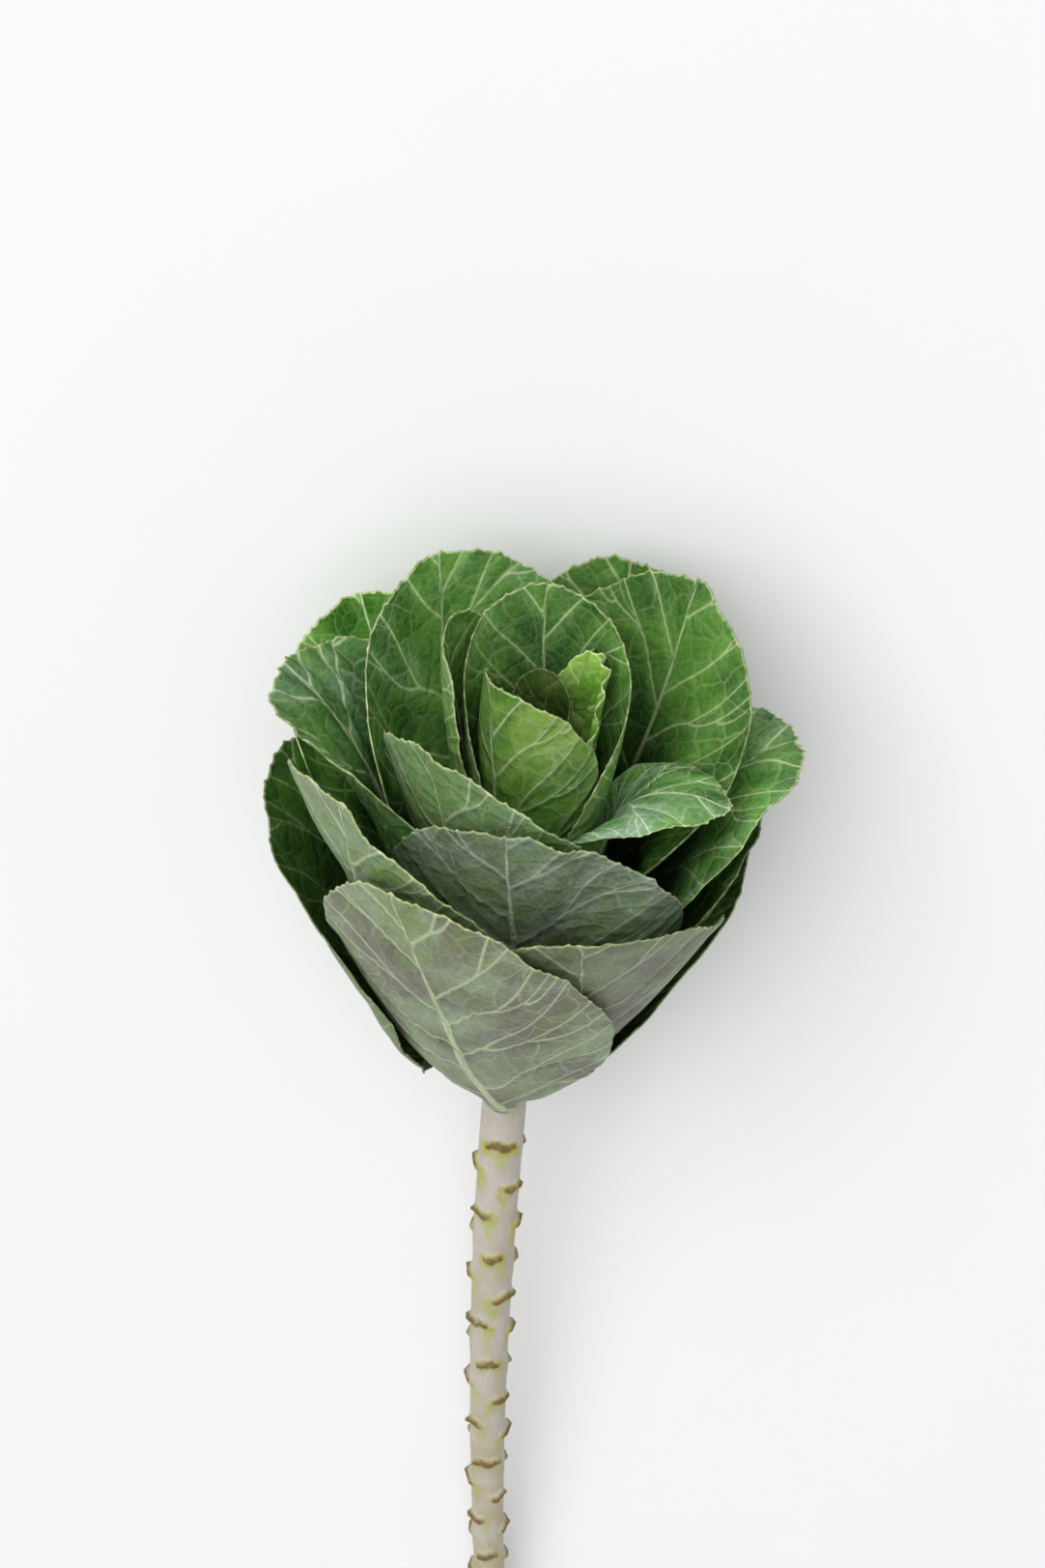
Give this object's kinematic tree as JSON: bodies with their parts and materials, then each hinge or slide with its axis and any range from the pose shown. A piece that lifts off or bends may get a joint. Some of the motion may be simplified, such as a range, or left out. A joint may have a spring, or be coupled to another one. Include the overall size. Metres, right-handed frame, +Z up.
{
  "type": "ornamental cabbage",
  "caption": "Cut ornamental cabbage lying on its back: an open rosette of broad wavy leaves around a pale heart, on a long bare stem with leaf scars.",
  "frame": {"origin": "middle of the footprint, on the surface that the plant lies on", "axes": "+Y from the stem's cut end to the head, +Z up, +X to the right of the head's front as seen from above"},
  "size_m": [0.1208, 0.3872, 0.118],
  "materials": {
    "grey_green_leaf": "waxy grey-green leaf blade with pale veins, semi-matt",
    "green_leaf": "dark green leaf blade with yellow-green veins, semi-matt",
    "heart_leaf": "young yellow-green leaf blade with pale veins, semi-matt",
    "stem": "pale greyish stem skin with brown corky leaf scars, matt"
  },
  "bodies": {
    "root": {"leaf_back_left_low": "green_leaf", "leaf_back_left_tall": "green_leaf", "leaf_back_middle": "green_leaf", "leaf_back_right_low": "green_leaf", "leaf_back_right_tall": "green_leaf", "leaf_front_left": "grey_green_leaf", "leaf_front_right": "grey_green_leaf", "leaf_front_second": "grey_green_leaf", "leaf_heart_back": "heart_leaf", "leaf_heart_front": "heart_leaf", "leaf_heart_inner": "heart_leaf", "leaf_heart_least": "heart_leaf", "leaf_heart_right": "heart_leaf", "leaf_inner_back": "green_leaf", "leaf_inner_left": "green_leaf", "leaf_left_back": "green_leaf", "leaf_left_front": "grey_green_leaf", "leaf_left_outer": "grey_green_leaf", "leaf_left_third": "grey_green_leaf", "leaf_left_turned": "green_leaf", "leaf_right": "green_leaf", "leaf_right_flap": "green_leaf", "leaf_right_tall": "green_leaf", "leaf_right_turned": "green_leaf", "stem": "stem"}
  },
  "joints": []
}
